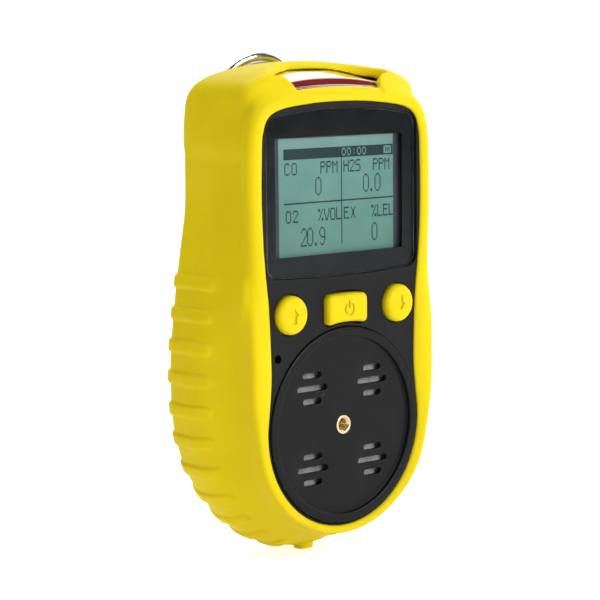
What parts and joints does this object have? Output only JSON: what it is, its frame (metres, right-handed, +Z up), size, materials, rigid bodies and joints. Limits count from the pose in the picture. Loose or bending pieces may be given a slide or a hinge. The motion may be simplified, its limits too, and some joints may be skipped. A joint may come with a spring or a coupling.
{
  "type": "portable gas detector",
  "caption": "Hand-held gas detector with display, keys, slotted sensor cover, alarm lens, protective rubber sleeve and sprung belt clip.",
  "frame": {"origin": "point on the sleeve's flat back face, straight behind the middle of the sensor cover", "axes": "+X to the right as the user reads the display, +Y from the display towards the belt clip, +Z up towards the alarm lens"},
  "size_m": [0.077, 0.0373, 0.1321],
  "materials": {
    "sleeve_silicone": "satin moulded silicone",
    "key_silicone": "satin moulded silicone",
    "housing_black": "fine moulded texture",
    "window_black": "polished",
    "lcd": "reflective grey-green",
    "backlight_white": "smooth",
    "seal_rubber": "matt",
    "board_green": "solder mask",
    "battery_blue": "shrink wrap",
    "component_black": "moulded",
    "steel": "satin",
    "polished_steel": "polished",
    "brass": "knurled",
    "lens_red": "polished translucent",
    "filter_grey": "felt",
    "cell_white": "moulded"
  },
  "bodies": {
    "housing": {"protective_sleeve": "sleeve_silicone", "front_housing": "housing_black", "rear_housing": "housing_black", "sensor_cover": "housing_black", "display_window": "window_black", "lcd_panel": "lcd", "lcd_backlight": "backlight_white", "housing_gasket": "seal_rubber", "keypad_membrane": "seal_rubber", "sensor_gasket": "seal_rubber", "left_switch": "component_black", "power_switch": "component_black", "right_switch": "component_black", "main_board": "board_green", "sensor_board": "board_green", "board_connector": "component_black", "battery_pack": "battery_blue", "buzzer": "component_black", "vibration_motor": "steel", "alarm_lens": "lens_red", "alarm_led_left": "lens_red", "alarm_led_right": "lens_red", "threaded_insert": "brass", "dust_filter": "filter_grey", "co_sensor": "cell_white", "h2s_sensor": "cell_white", "oxygen_sensor": "cell_white", "combustible_sensor": "cell_white", "charging_port": "steel", "housing_screw_1": "steel", "housing_screw_2": "steel", "housing_screw_3": "steel", "housing_screw_4": "steel", "clip_base": "polished_steel", "clip_pin": "polished_steel", "clip_spring": "steel", "clip_screw": "polished_steel"},
    "left_key": {"left_button": "key_silicone", "left_switch_plunger": "component_black"},
    "power_key": {"power_button": "key_silicone", "power_switch_plunger": "component_black"},
    "right_key": {"right_button": "key_silicone", "right_switch_plunger": "component_black"},
    "clip_jaw": {"clip_lever": "polished_steel"},
    "port_plug": {"charge_port_plug": "sleeve_silicone"},
    "motor_rotor": {"motor_weight": "steel"}
  },
  "joints": [
    {"name": "left_button_press", "type": "slide", "parent": "housing", "child": "left_key", "axis": [0, 1, 0], "range_m": [0, 0.0007], "stiffness_N_per_m": 150},
    {"name": "power_button_press", "type": "slide", "parent": "housing", "child": "power_key", "axis": [0, 1, 0], "range_m": [0, 0.0007], "stiffness_N_per_m": 150},
    {"name": "right_button_press", "type": "slide", "parent": "housing", "child": "right_key", "axis": [0, 1, 0], "range_m": [0, 0.0007], "stiffness_N_per_m": 150},
    {"name": "clip_open", "type": "hinge", "parent": "housing", "child": "clip_jaw", "pos_m": [0, 0.0015, 0.072], "axis": [1, 0, 0], "range_deg": [0, 8], "stiffness_Nm_per_rad": 0.3, "deforming": ["clip_spring"]},
    {"name": "port_plug_open", "type": "hinge", "parent": "housing", "child": "port_plug", "pos_m": [0, -0.006, -0.0357], "axis": [1, 0, 0], "range_deg": [0, 100], "stiffness_Nm_per_rad": 0.002},
    {"name": "motor_spin", "type": "hinge", "parent": "housing", "child": "motor_rotor", "pos_m": [0.0246, -0.022, 0], "axis": [0, 1, 0], "continuous": true}
  ]
}
